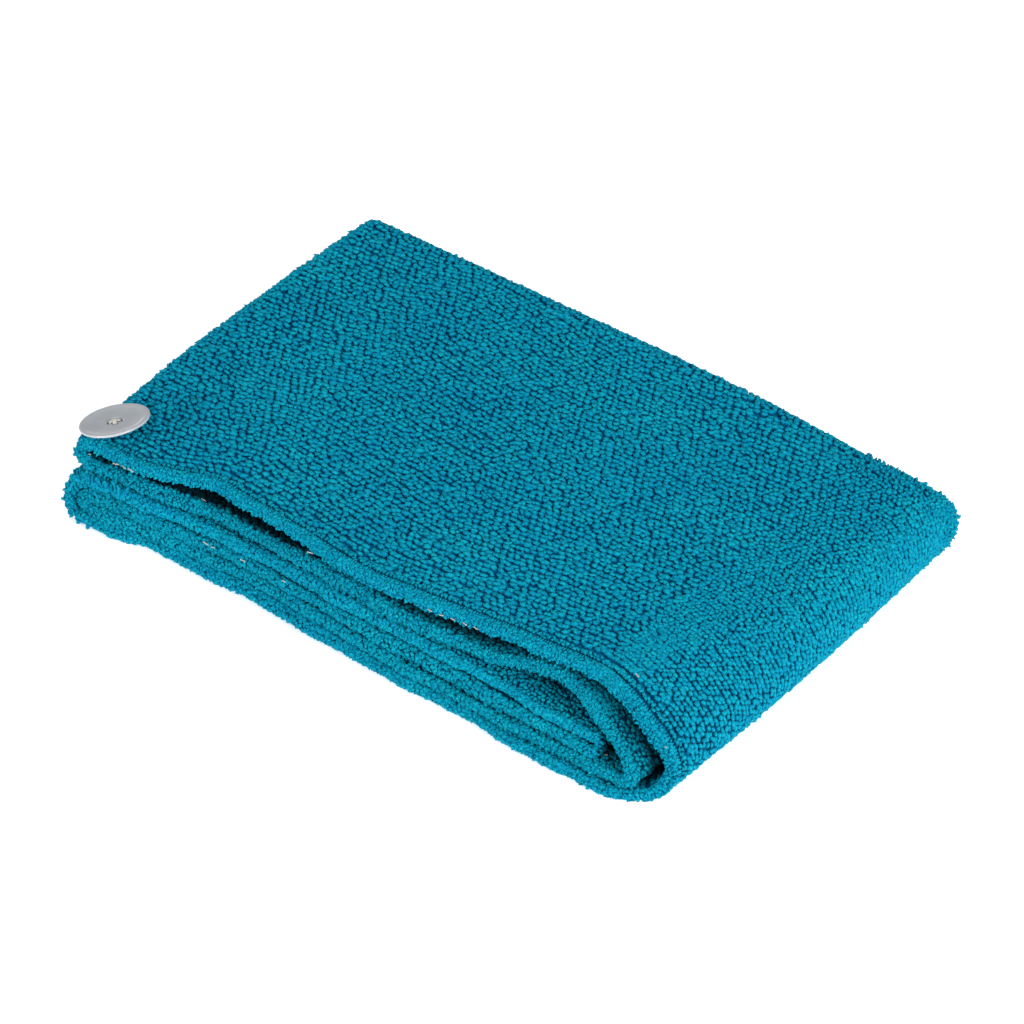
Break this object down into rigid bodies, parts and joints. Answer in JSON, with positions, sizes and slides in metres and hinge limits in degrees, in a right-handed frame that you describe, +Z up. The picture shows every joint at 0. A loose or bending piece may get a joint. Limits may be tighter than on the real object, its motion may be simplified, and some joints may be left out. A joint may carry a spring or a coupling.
{
  "type": "hair towel",
  "caption": "Two-ply terry hair towel with a head opening, a twisting tail and a button at the nape, folded in three and lying flat.",
  "frame": {"origin": "middle of the footprint of the folded pack, on the surface it lies on", "axes": "+X from the nape end with the button to the big fold, +Y from the open near side to the crown side, +Z up"},
  "size_m": [0.2638, 0.1823, 0.0414],
  "materials": {
    "outer_terry": "terry loops",
    "inner_terry": "terry loops",
    "button_plastic": "semi-gloss",
    "white_thread": "twisted thread"
  },
  "bodies": {
    "root": {"outer_panel": "outer_terry", "inner_panel": "inner_terry", "button": "button_plastic", "button_thread": "white_thread"}
  },
  "joints": []
}
